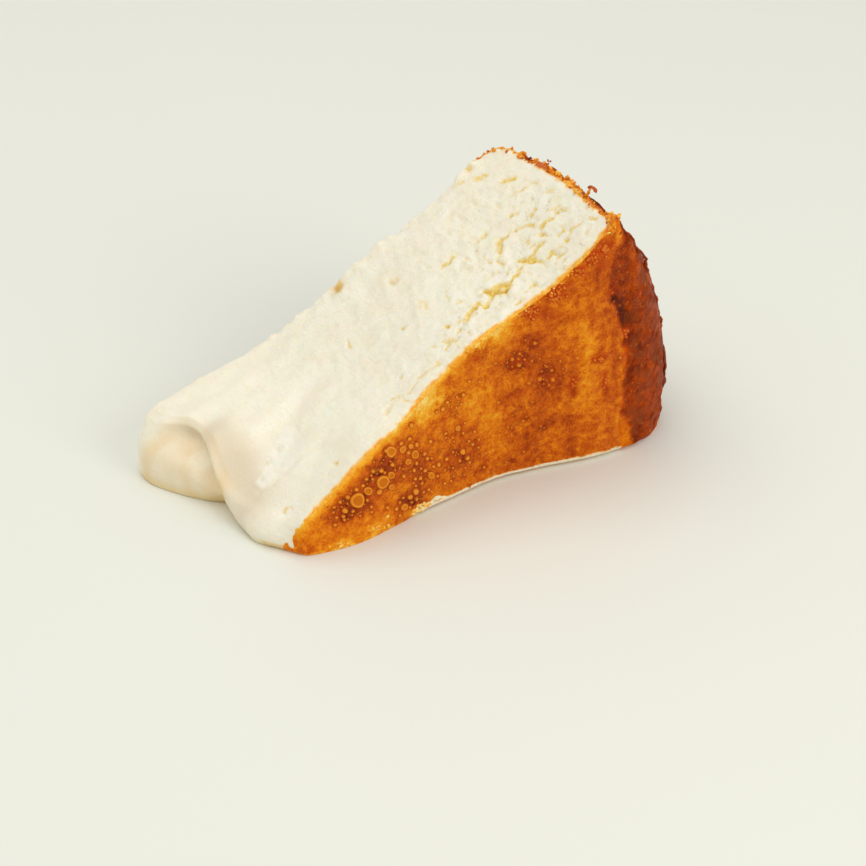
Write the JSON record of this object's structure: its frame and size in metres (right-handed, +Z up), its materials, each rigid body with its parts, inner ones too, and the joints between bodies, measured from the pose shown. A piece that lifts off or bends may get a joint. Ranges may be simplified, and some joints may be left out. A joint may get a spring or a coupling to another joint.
{
  "type": "basque cheesecake slice",
  "caption": "Slice of burnt baked cheesecake lying on its cut side, with a browned base and rim and a molten cream tip.",
  "frame": {"origin": "middle of the slice's footprint on the ground", "axes": "+X from the wedge's molten tip to the cake's rim, +Y from the cake's browned underside to its burnt top, +Z up from the lower cut face, which lies on the ground, to the upper one"},
  "size_m": [0.1212, 0.0572, 0.0619],
  "materials": {
    "cheesecake": "moist ivory cream, glossy where it has melted at the tip, with an orange-brown baked underside and a dark red-brown rough rim and top"
  },
  "bodies": {
    "root": {"cheesecake_slice": "cheesecake"}
  },
  "joints": []
}
